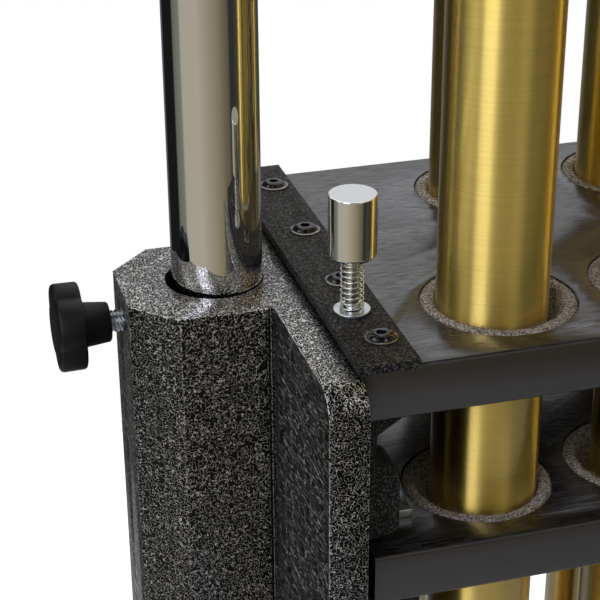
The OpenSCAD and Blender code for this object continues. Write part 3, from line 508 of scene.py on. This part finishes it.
brass = brushed_brass()
bore = TUBE_RADIUS - TUBE_WALL
boss_outline = soft_corners([(0, BOSS_HEIGHT), (BOSS_RADIUS, BOSS_HEIGHT), (BOSS_RADIUS, -BAIL_ROOT),
                             (0, -BAIL_ROOT)], BOSS_EDGE)
for bell in bells:
    low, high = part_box(bell)
    x, y = (low[0] + high[0]) / 2, (low[1] + high[1]) / 2
    top = high[2] - BAIL_LEG - BAIL_RADIUS - BAIL_WIRE / 2
    tube_outline = soft_corners([(0, top), (TUBE_RADIUS, top), (TUBE_RADIUS, low[2]), (bore, low[2]),
                                 (bore, top - CAP_HEIGHT), (0, top - CAP_HEIGHT)], TUBE_EDGE, steps=5)
    dress(turned_piece(bell + "_tube", tube_outline, (x, y, 0)), brass, bell)
    leg = [(BAIL_RADIUS, 0, z) for z in np.linspace(-BAIL_ROOT, BAIL_LEG, 4)]
    arch = [(BAIL_RADIUS * math.cos(a), 0, BAIL_LEG + BAIL_RADIUS * math.sin(a))
            for a in np.radians(np.linspace(0, 180, BAIL_STEPS))[1:-1]]
    other_leg = [(-along, 0, z) for along, _, z in leg[::-1]]
    bail = bar_piece(bell + "_bail", np.array(leg + arch + other_leg) + (x, y, top), BAIL_WIRE / 2)
    dress(bail, brass, bell)
    for side, offset in (("left", -BAIL_RADIUS), ("right", BAIL_RADIUS)):
        boss = turned_piece(bell + "_boss_" + side, boss_outline, (x + offset, y, top), BOSS_SIDES)
        dress(boss, brass, bell)


# The damper boards: planks of open-grained hardwood, stained black and rubbed to a satin, with the
# grain along the rows. Every bell passes through a hole in both.
BOARD_EDGE = 0.35 * MM
PORE_BLACK = (0.002, 0.002, 0.002, 1)


def stained_wood():
    """Black stain on open grain: pores along X in the broad faces, a faint figure, a satin sheen."""
    wood = Finish("stained_wood", Coat_Weight=0.85, Coat_Roughness=0.25)
    pores = wood.noise((130, 1700, 1700), detail=2, Roughness=0.55)
    figure = wood.noise((9, 120, 120), detail=4, Distortion=0.4)
    facing = wood.add("SeparateXYZ", {"Vector": wood.add("TexCoord").outputs["Normal"]})
    broad_face = wood.calculate("ABSOLUTE", facing.outputs["Z"])
    depth = wood.fade(pores, start=0.40, end=0.49, first=1, last=0)
    pit = wood.calculate("MULTIPLY", depth, broad_face)
    stain = wood.ramp(figure, [(0.3, 0.006, 0.004, 0.003), (0.5, 0.009, 0.006, 0.004),
                               (0.7, 0.014, 0.010, 0.007)])
    wood.feed("Base Color", wood.blend(pit, stain, PORE_BLACK))
    wood.gloss(pit, first=0.30, last=0.75)
    wood.relief(pit, strength=0.55, depth=0.2 * MM, invert=True)
    return wood.material


wood = stained_wood()
for board in ("upper_board", "lower_board"):
    dress(rounded_copy(board, BOARD_EDGE), wood, board)


# The felt rings: pressed grey wool glued into the holes of both boards, furry at the rims. In the
# upper board a bell leans on one side of its ring, and in the lower board on the other.
FELT_OUT, FELT_IN, FELT_ROUND = 26.7 * MM, 21.8 * MM, 2.0 * MM
FELT_SIDES = 160
RING_OFFSET = 2.45 * MM
LUMP, LUMP_SMOOTHING = 0.16 * MM, 1.7
HAIRS, HAIR_THICK, HAIR_ROOT = 1300, 0.05 * MM, 0.15 * MM
HAIR_SHORT, HAIR_LONG = 0.5, 1.5
HAIR_SPREAD, HAIR_RISE, HAIR_CURL = (0.5, 0.5, 0.25), (0, 0, 0.55), 0.35


def wool_felt():
    """Grey-beige wool: light and dark fibres in tight clumps, with a soft sheen."""
    wool = Finish("wool_felt", Roughness=0.95, Sheen_Weight=0.25, Sheen_Roughness=0.5)
    flock = wool.noise(1350, detail=2, Roughness=0.75, Distortion=0.6)
    wool.tone(flock, (0.40, 0.05, 0.038, 0.028), (0.49, 0.21, 0.18, 0.14), (0.58, 0.62, 0.57, 0.48))
    wool.relief(flock, strength=1.0, depth=0.6 * MM)
    return wool.material


def felt_ring(centre, low, high, draws):
    """A ring with lumpy walls: the revolved rounded box, with noise added to its radius and height.

    The noise is smoothed over neighbours. It moves the inner wall to and from the axis, and lifts
    the upper half.
    """
    section = soft_corners([(FELT_OUT, low), (FELT_OUT, high), (FELT_IN, high), (FELT_IN, low),
                            (FELT_OUT, low)], FELT_ROUND, steps=5)[1:]
    points = revolved(section, (0, 0, 0), FELT_SIDES)
    lumps = draws.normal(0, LUMP, (len(section), FELT_SIDES, 1))
    lumps = (lumps + np.roll(lumps, 1, 1) + np.roll(lumps, 1, 0)) / LUMP_SMOOTHING
    middle = (FELT_OUT + FELT_IN) / 2
    radius = np.linalg.norm(points[..., :2], axis=-1, keepdims=True)
    outward = np.concatenate([points[..., :2] / radius * np.sign(radius - middle), 0 * radius], -1)
    points = points + outward * lumps * (radius < middle)
    points[..., 2:] += np.abs(lumps) * (points[..., 2:] > (low + high) / 2)
    faces = grid_faces(len(section), FELT_SIDES, closed=True)
    return (points + np.array(centre)).reshape(-1, 3), faces


def felt_hairs(centre, high, draws):
    """Short hairs on the upper rim: three-sided spikes with rings at the root, middle and tip.

    The middle is root + lean length / 2, and the tip root + (lean + curl) length, so a hair bends as
    it rises. Each ring has three points at 120 degrees about the hair.
    """
    turn = draws.uniform(0, 2 * math.pi, HAIRS)
    radius = FELT_IN + (FELT_OUT - FELT_IN) * draws.uniform(-0.02, 1.0, HAIRS)
    lean = draws.normal(0, 1, (HAIRS, 3)) * HAIR_SPREAD + HAIR_RISE
    length = draws.uniform(HAIR_SHORT, HAIR_LONG, HAIRS)[:, None] * MM
    foot = high - HAIR_ROOT + 0 * turn
    root = np.stack([radius * np.cos(turn), radius * np.sin(turn), foot], -1)
    curl = draws.normal(0, HAIR_CURL, (HAIRS, 3))
    middle = root + lean / 2 * length
    tip = root + (lean + curl) * length
    across = np.cross(lean, draws.normal(0, 1, (HAIRS, 3)))
    across /= np.linalg.norm(across, axis=1)[:, None]
    other = np.cross(lean, across)
    other /= np.linalg.norm(other, axis=1)[:, None]
    rings = [place + (across * math.cos(a) + other * math.sin(a)) * HAIR_THICK * share
             for place, share in ((root, 1.0), (middle, 0.8), (tip, 0.3))
             for a in np.radians((0, 120, 240))]
    points = np.stack(rings, 1) + np.array(centre)
    spike = grid_faces(3, 3)
    faces = np.arange(HAIRS)[:, None, None] * len(rings) + spike[None]
    return points.reshape(-1, 3), faces.reshape(-1, 4)


def gathered(parts):
    """Parts of (points, faces) as one: each part's point numbers go on from those before it."""
    starts = np.cumsum([0] + [len(points) for points, _ in parts])
    faces = [faces + start for start, (_, faces) in zip(starts, parts)]
    return np.concatenate([points for points, _ in parts]), np.concatenate(faces)


felt = wool_felt()
wool_draws = np.random.default_rng(5)
for board, offset in (("upper", RING_OFFSET), ("lower", -RING_OFFSET)):
    node = board + "_felts"
    felt_low, felt_high = (corner[2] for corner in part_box(node))
    ring_parts, hair_parts = [], []
    for bell in bells:
        low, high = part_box(bell)
        centre = ((low[0] + high[0]) / 2 + offset, (low[1] + high[1]) / 2, 0)
        ring_parts.append(felt_ring(centre, felt_low, felt_high, wool_draws))
        hair_parts.append(felt_hairs(centre, felt_high, wool_draws))
    rings = surface_piece(board + "_felt_rings", *gathered(ring_parts), sharp=70)
    dress(rings, felt, node)
    points, faces = gathered(hair_parts)
    mesh = bpy.data.meshes.new(board + "_felt_hairs")
    mesh.from_pydata(points.tolist(), [], faces.tolist())
    hairs = bpy.data.objects.new(board + "_felt_hairs", mesh)
    bpy.context.scene.collection.objects.link(hairs)
    dress(hairs, felt, node)


# The end strips: flat steel with a fine black wrinkle finish, screwed down over the upper board's
# ends and standing a little past its edges. The guides under the boards have the same finish.
STRIP_EDGE, GUIDE_EDGE = 0.4 * MM, 0.5 * MM


def wrinkle_black():
    """Black wrinkle paint: a fine dull pebble, with painted highlights on its small tops."""
    paint = Finish("wrinkle_black", Specular_IOR_Level=0.2)
    pebble = paint.noise(1500, detail=1.5, Roughness=0.6)
    # The ramp's light top stop is a painted highlight on the pebble's raised tops.
    paint.tone(pebble, (0.40, 0.002, 0.002, 0.002), (0.52, 0.014, 0.013, 0.011),
               (0.66, 0.110, 0.103, 0.090))
    paint.gloss(pebble, first=0.72, last=0.5)
    paint.relief(pebble, strength=0.35, depth=0.3 * MM)
    return paint.material


wrinkle = wrinkle_black()
dress(rounded_copy("end_strips", STRIP_EDGE, segments=3), wrinkle, "end_strips")
dress(rounded_copy("board_guides", GUIDE_EDGE), wrinkle, "board_guides")


# The strips' screws: flanged button heads of steel with an oiled black oxide, each with a hexagonal
# socket. They hold the strips to the upper board.
SCREW_HEAD, SOCKET_ACROSS, SHANK_RADIUS = 5.5 * MM, 3.2 * MM, 2.5 * MM
SCREW_ROWS, SCREW_SIDES = 4, 72
# The share of the head's radius beyond which the flange's rim is lighter.
LIGHT_RIM_SHARE = 0.93


def black_oxide():
    """Oiled black steel, glossy on the dome. A point value marks the flange's lighter rim."""
    oxide = Finish("black_oxide", Metallic=0.9, Coat_Weight=0.3, Coat_Roughness=0.05)
    film = oxide.noise(700, detail=3)
    oxide.gloss(film, first=0.10, last=0.24)
    rim = oxide.add("Attribute", attribute_name="rim").outputs["Fac"]
    oxide.tone(rim, (0.0, 0.035, 0.034, 0.034), (1.0, 0.24, 0.23, 0.22))
    return oxide.material


def button_screw(name, centre, length):
    """A screw: round rings from the shank up over flange and dome, then six-sided ones for the socket.

    A hexagon's radius at an angle a from the middle of a side is half its width across flats / cos a.
    """
    turn = np.linspace(0, 2 * math.pi, SCREW_SIDES, endpoint=False)
    hexagon = 1 / np.cos((turn + math.pi / 6) % (math.pi / 3) - math.pi / 6) * SOCKET_ACROSS / 2
    head = SCREW_HEAD
    shank = [(0, -length), (SHANK_RADIUS, -length), (SHANK_RADIUS, 0)]
    flange = [(head - 0.15 * MM, 0), (head, 0.15 * MM), (head, 0.45 * MM), (head - 0.2 * MM, 0.6 * MM)]
    dome = [(0.86 * head, 0.62 * MM), (0.80 * head, 0.8 * MM), (0.76 * head, 1.15 * MM),
            (0.68 * head, 1.6 * MM), (0.58 * head, 1.95 * MM), (0.50 * head, 2.1 * MM),
            (0.42 * head, 2.15 * MM)]
    socket = [(1.04, 2.13 * MM), (1.0, 2.0 * MM), (1.0, 0.9 * MM), (0.0, 0.8 * MM)]
    rows = [(radius + 0 * turn, z) for radius, z in shank + flange + dome]
    rows += [(hexagon * share, z) for share, z in socket]
    rings = [np.stack([radius * np.cos(turn), radius * np.sin(turn), z + 0 * turn], -1)
             for radius, z in rows]
    points = np.stack(rings) + np.array(centre)
    piece = surface_piece(name, points, grid_faces(len(rings), SCREW_SIDES), sharp=40)
    place = np.empty(len(piece.data.vertices) * 3, np.float32)
    piece.data.vertices.foreach_get("co", place)
    from_axis = np.linalg.norm(place.reshape(-1, 3)[:, :2] - np.array(centre[:2]), axis=1)
    rim = piece.data.attributes.new("rim", "FLOAT", "POINT")
    rim.data.foreach_set("value", (from_axis > head * LIGHT_RIM_SHARE).astype(np.float32))
    return piece


oxide = black_oxide()
screw_low, screw_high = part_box("board_screws")
screw_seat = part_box("end_strips")[1][2]
screw_x = screw_high[0] - SCREW_HEAD
screw_y = np.linspace(screw_low[1] + SCREW_HEAD, screw_high[1] - SCREW_HEAD, SCREW_ROWS)
for side, x in (("left", -screw_x), ("right", screw_x)):
    for row, y in enumerate(screw_y):
        screw = button_screw(f"screw_{side}_{row + 1}", (x, y, screw_seat), screw_seat - screw_low[2])
        dress(screw, oxide, "board_screws")


# The lock plunger: a turned steel knob with mirror chrome on a thin rod that goes down through the
# upper board to the latch plate. A washer and a bright spring lie under the knob.
KNOB_RADIUS, KNOB_FOOT, KNOB_EDGE = 8 * MM, 1.2 * MM, 0.45 * MM
ROD_RADIUS, ROD_TIP, ROD_TIP_LENGTH = 2.25 * MM, 1.65 * MM, 0.8 * MM
COLLAR_RADIUS, COLLAR_HEIGHT, COLLAR_GAP = 4.25 * MM, 2 * MM, 0.3 * MM
ROD_IN_KNOB = 0.5 * MM
SPRING_RADIUS, SPRING_WIRE, SPRING_TURNS = 3.75 * MM, 0.66 * MM, 10
STEPS_PER_TURN, WIRE_SIDES, FLAT_RISE = 40, 12, 0.25
WASHER_CLEARANCE, WASHER_EDGE = 0.8 * MM, 0.3 * MM


def bright_steel():
    """Bright drawn steel: fine lines round it vary its gloss."""
    steel = Finish("bright_steel", Metallic=1.0, Base_Color=(0.66, 0.66, 0.60, 1))
    drawn = steel.noise(900, detail=2)
    steel.gloss(drawn, first=0.20, last=0.32)
    return steel.material


def ground_rod():
    """Ground steel, greyer than the spring: fine rings round the rod soften what it mirrors."""
    steel = Finish("ground_rod", Metallic=1.0, Base_Color=(0.78, 0.78, 0.74, 1))
    ground = steel.noise((300, 300, 5200), detail=2)
    steel.gloss(ground, first=0.16, last=0.26)
    return steel.material


def bright_zinc():
    """Zinc plate: pale blue-grey, with faint cloudy crystals."""
    plate = Finish("bright_zinc", Metallic=1.0)
    cloud = plate.noise(240, detail=4, Distortion=0.5)
    plate.tone(cloud, (0.3, 0.42, 0.47, 0.50), (0.6, 0.62, 0.67, 0.68), (0.8, 0.70, 0.70, 0.66))
    plate.gloss(cloud, first=0.2, last=0.38)
    return plate.material


def spring_path(centre, low, high, radius, turns, wire):
    """A helix whose first and last turn close up: it rises slowly at its ends and evenly between."""
    t = np.linspace(0, 1, int(turns * STEPS_PER_TURN) + 1)
    from_end = np.clip(np.minimum(t, 1 - t) * turns, 0, 1)
    rise = np.cumsum(FLAT_RISE + (1 - FLAT_RISE) * from_end)
    rise = (rise - rise[0]) / (rise[-1] - rise[0])
    angle = 2 * math.pi * turns * t
    z = low + wire / 2 + (high - low - wire) * rise
    return np.stack([centre[0] + radius * np.cos(angle), centre[1] + radius * np.sin(angle), z], -1)


plunger_low, plunger_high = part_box("plunger")
plunger_at = ((plunger_low[0] + plunger_high[0]) / 2, (plunger_low[1] + plunger_high[1]) / 2, 0)
spring_foot, seat = (corner[2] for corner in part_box("plunger_spring"))
knob_top = plunger_high[2]
knob_outline = soft_corners([(0, knob_top), (KNOB_RADIUS, knob_top), (KNOB_RADIUS, seat + KNOB_FOOT),
                             (KNOB_RADIUS - KNOB_FOOT, seat), (0, seat)], KNOB_EDGE, steps=6)
dress(turned_piece("plunger_knob", knob_outline, plunger_at), chrome, "plunger")
collar_top, rod_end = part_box("upper_board")[0][2] - COLLAR_GAP, plunger_low[2]
rod_outline = np.array([
    (0, seat + ROD_IN_KNOB), (ROD_RADIUS, seat + ROD_IN_KNOB), (ROD_RADIUS, collar_top),
    (COLLAR_RADIUS, collar_top), (COLLAR_RADIUS, collar_top - COLLAR_HEIGHT),
    (ROD_RADIUS, collar_top - COLLAR_HEIGHT), (ROD_RADIUS, rod_end + ROD_TIP_LENGTH),
    (ROD_TIP, rod_end), (0, rod_end)])
dress(turned_piece("plunger_rod", rod_outline, plunger_at), ground_rod(), "plunger")

spring_steel = bright_steel()
coil = spring_path(plunger_at, spring_foot, seat, SPRING_RADIUS, SPRING_TURNS, SPRING_WIRE)
spring = bar_piece("plunger_coil", coil, SPRING_WIRE / 2, WIRE_SIDES)
dress(spring, spring_steel, "plunger_spring")
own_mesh(spring)

zinc = bright_zinc()
washer_low, washer_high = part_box("plunger_washer")
washer_rim = (washer_high[0] - washer_low[0]) / 2
washer_hole = ROD_RADIUS + WASHER_CLEARANCE
washer_outline = soft_corners([
    (washer_hole, washer_low[2]), (washer_rim, washer_low[2]), (washer_rim, washer_high[2]),
    (washer_hole, washer_high[2]), (washer_hole, washer_low[2])], WASHER_EDGE)[1:-1]
washer = turned_piece("spring_washer", washer_outline, plunger_at, closed=True)
dress(washer, zinc, "plunger_washer")


# The clamp knobs: moulded black four-lobed grips on a zinc-plated stud. The stud screws through the
# tower's outer wall and presses on the post, so that the head stays at its height.
GRIP_RADIUS, LOBE_SHARE = 15.4 * MM, 0.62
LOBE_TURN = math.radians(61)
HEAD_THICK, NECK_LENGTH = 9.6 * MM, 9.4 * MM
NECK_TIP, NECK_ROOT, NECK_FILLET = 7.0 * MM, 7.9 * MM, 0.7 * MM
GRIP_SIDES = 192
STUD_RADIUS, THREAD_PITCH, THREAD_SHARE = 4 * MM, 1.25 * MM, 0.61
STUD_SIDES, ROWS_PER_PITCH = 48, 8


def moulded_black():
    """Satin black nylon with a fine mould grain."""
    nylon = Finish("moulded_black", Base_Color=(0.005, 0.005, 0.005, 1), Specular_IOR_Level=0.25)
    grain = nylon.noise(2200, detail=2)
    nylon.gloss(grain, first=0.42, last=0.55)
    nylon.relief(grain, strength=0.12, depth=0.1 * MM)
    return nylon.material


def lobed_knob(name, face, outward):
    """A grip: round rings for the tapered neck, then rings of a four-lobed outline for the head.

    Each lobe is a circle of radius R whose middle lies d off the centre, so the outline's radius at
    an angle a from the lobe's middle is d cos a + sqrt(R^2 - d^2 sin^2 a). A neck row is (height,
    radius), and a head row (height, how far it lies inside the outline).
    """
    turn = np.linspace(0, 2 * math.pi, GRIP_SIDES, endpoint=False)
    lobe, off = GRIP_RADIUS * LOBE_SHARE, GRIP_RADIUS * (1 - LOBE_SHARE)
    angle = (turn - LOBE_TURN + math.pi / 4) % (math.pi / 2) - math.pi / 4
    lobes = off * np.cos(angle) + np.sqrt(lobe ** 2 - (off * np.sin(angle)) ** 2)
    start, end = NECK_LENGTH, NECK_LENGTH + HEAD_THICK
    neck = [(0, 0), (0, NECK_TIP - 0.5 * MM), (0.5 * MM, NECK_TIP), (start - 0.6 * MM, NECK_ROOT),
            (start, NECK_ROOT + NECK_FILLET)]
    head = [(start, 1.3 * MM), (start + 0.3 * MM, 0.5 * MM), (start + 1.1 * MM, 0.1 * MM),
            (end - 1.4 * MM, 0), (end - 0.5 * MM, 0.35 * MM), (end - 0.1 * MM, 1.1 * MM),
            (end, 2.2 * MM), (end, GRIP_RADIUS)]
    rows = [(height, radius + 0 * turn) for height, radius in neck]
    rows += [(height, np.maximum(lobes - inset, 0)) for height, inset in head]
    rings = [np.stack([face[0] + outward * height + 0 * turn, face[1] + radius * np.cos(turn),
                       face[2] + radius * np.sin(turn)], -1) for height, radius in rows]
    return surface_piece(name, np.stack(rings), grid_faces(len(rings), GRIP_SIDES), sharp=50)


def threaded_stud(name, start, end, y, z):
    """A stud along X with a real thread: its radius is a triangle wave that climbs one pitch a turn."""
    x = np.linspace(start, end, int(abs(end - start) / THREAD_PITCH * ROWS_PER_PITCH))[:, None]
    turn = np.linspace(0, 2 * math.pi, STUD_SIDES, endpoint=False)[None]
    phase = (x / THREAD_PITCH - turn / (2 * math.pi)) % 1
    radius = STUD_RADIUS - THREAD_SHARE * THREAD_PITCH * np.abs(2 * phase - 1)
    points = np.stack([x + 0 * turn, y + radius * np.cos(turn), z + radius * np.sin(turn)], -1)
    caps = [np.repeat(np.array([[[place, y, z]]]), STUD_SIDES, 1) for place in (start, end)]
    points = np.concatenate([caps[0], points, caps[1]])
    return surface_piece(name, points, grid_faces(len(points), STUD_SIDES), sharp=60)


black_nylon = moulded_black()
for side, outward in (("left", -1), ("right", 1)):
    low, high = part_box("clamp_knob_" + side)
    y, z = (low[1] + high[1]) / 2, (low[2] + high[2]) / 2
    inner_face = (low[0] if outward > 0 else high[0], y, z)
    grip = lobed_knob("clamp_grip_" + side, inner_face, outward)
    dress(grip, black_nylon, "clamp_knob_" + side)
    low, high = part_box("clamp_stud_" + side)
    stud = threaded_stud("clamp_screw_" + side, low[0], high[0], y, z)
    dress(stud, zinc, "clamp_stud_" + side)


# The hooks: bent steel wire with zinc plate, screwed into the rails. Each carries a bell's bail in
# its round bow.
HOOK_WIRE, HOOK_BOW, HOOK_TAIL, HOOK_PLAY = 4 * MM, 6 * MM, 3 * MM, 0.3 * MM
HOOK_STEPS, SHANK_STEPS = 25, 5
front_under, rear_under = (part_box(rail)[0][2] for rail in ("front_rail", "rear_rail"))
for bell in bells:
    low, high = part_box(bell)
    x, y = (low[0] + high[0]) / 2, (low[1] + high[1]) / 2
    bow_z = high[2] - BAIL_WIRE - HOOK_WIRE / 2 - HOOK_PLAY + HOOK_BOW
    rail_z = front_under if y < 0 else rear_under
    shank = [(x, y + HOOK_BOW, z) for z in np.linspace(rail_z, bow_z, SHANK_STEPS)[:-1]]
    bow = [(x, y + HOOK_BOW * math.cos(a), bow_z + HOOK_BOW * math.sin(a))
           for a in np.radians(np.linspace(0, -180, HOOK_STEPS))]
    tail = [(x, y - HOOK_BOW, bow_z + HOOK_TAIL)]
    hook = bar_piece("hook_" + bell.removeprefix("bell_"), shank + bow + tail, HOOK_WIRE / 2)
    dress(hook, zinc, "bell_hooks")


# The damper's drive: a plated lug under the lower board, a bell crank behind it, a rod with a clevis
# at each end, and a return spring that holds the damper on. The latch plate is plated as they are.
PLATED_EDGE = 0.4 * MM
RETURN_RADIUS, RETURN_WIRE, RETURN_TURNS = 7.5 * MM, 2 * MM, 12
for plated in ("drive_lug", "bell_crank", "pedal_rod", "latch_plate"):
    dress(rounded_copy(plated, PLATED_EDGE), zinc, plated)
return_foot, return_top = (corner[2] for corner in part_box("return_spring"))
coil = spring_path((0, 0), return_foot, return_top, RETURN_RADIUS, RETURN_TURNS, RETURN_WIRE)
return_spring = bar_piece("return_coil", coil, RETURN_WIRE / 2, WIRE_SIDES)
dress(return_spring, spring_steel, "return_spring")
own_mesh(return_spring)


# The castors: pressed forks with zinc plate, and wheels with a grey hub and a soft tyre. The two in
# front have a brake pedal.
WHEEL_RADIUS, WHEEL_HALF, WHEEL_SIDES = 37.5 * MM, 12 * MM, 96
TYRE_DEPTH, TYRE_ROUND, TYRE_STEP = 9 * MM, 3 * MM, 1 * MM
SHOULDER_IN, SHOULDER_WIDE = 4 * MM, 6 * MM
AXLE_BORE, BOSS_OUT, BOSS_DEEP = 4.1 * MM, 11 * MM, 3 * MM
DISH_IN, DISH_DEEP, RIM_DEEP, HUB_ROUND = 2 * MM, 4.5 * MM, 1.2 * MM, 0.8 * MM
FORK_EDGE, BRAKE_EDGE = 0.4 * MM, 0.8 * MM


def tyre_rubber():
    """Dull grey-black rubber, dusty in its pores."""
    rubber = Finish("tyre_rubber", Roughness=0.7)
    dust = rubber.noise(400, detail=4)
    rubber.tone(dust, (0.3, 0.02, 0.02, 0.021), (0.7, 0.05, 0.05, 0.05))
    rubber.relief(dust, strength=0.15, depth=0.2 * MM)
    return rubber.material


def hub_nylon():
    """Mid-grey moulded nylon."""
    nylon = Finish("hub_nylon", Roughness=0.45)
    flow = nylon.noise(150, detail=3)
    nylon.tone(flow, (0.3, 0.16, 0.16, 0.17), (0.7, 0.22, 0.22, 0.23))
    return nylon.material


def wheel_section(half, middle, corner_radius, steps):
    """A closed section from its left half: the half, its middle, and its mirror image to the start."""
    mirror = [(radius, -along) for radius, along in half[::-1]]
    return soft_corners(half + middle + mirror + half[:1], corner_radius, steps)[1:-1]


rubber, nylon = tyre_rubber(), hub_nylon()
inner = WHEEL_RADIUS - TYRE_DEPTH
tyre_section = wheel_section(
    [(inner, TYRE_STEP - WHEEL_HALF), (WHEEL_RADIUS - SHOULDER_IN, -WHEEL_HALF),
     (WHEEL_RADIUS, SHOULDER_WIDE - WHEEL_HALF)], [(WHEEL_RADIUS, 0)], TYRE_ROUND, steps=5)
hub_section = wheel_section(
    [(AXLE_BORE, -WHEEL_HALF), (BOSS_OUT, -WHEEL_HALF), (BOSS_OUT, BOSS_DEEP - WHEEL_HALF),
     (inner - DISH_IN, DISH_DEEP - WHEEL_HALF), (inner, RIM_DEEP - WHEEL_HALF)], [], HUB_ROUND, steps=4)
for corner in ("fl", "fr", "rl", "rr"):
    wheel, fork, brake = ("castor_" + part + corner for part in ("wheel_", "fork_", "brake_"))
    low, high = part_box(wheel)
    centre = [(a + b) / 2 for a, b in zip(low, high)]
    tyre = turned_piece("tyre_" + corner, tyre_section, centre, WHEEL_SIDES, "x", closed=True)
    dress(tyre, rubber, wheel)
    hub = turned_piece("wheel_hub_" + corner, hub_section, centre, WHEEL_SIDES, "x", closed=True)
    dress(hub, nylon, wheel)
    dress(rounded_copy(fork, FORK_EDGE), zinc, fork)
    if brake in frame["nodes"]:
        dress(rounded_copy(brake, BRAKE_EDGE, segments=3), black_nylon, brake)
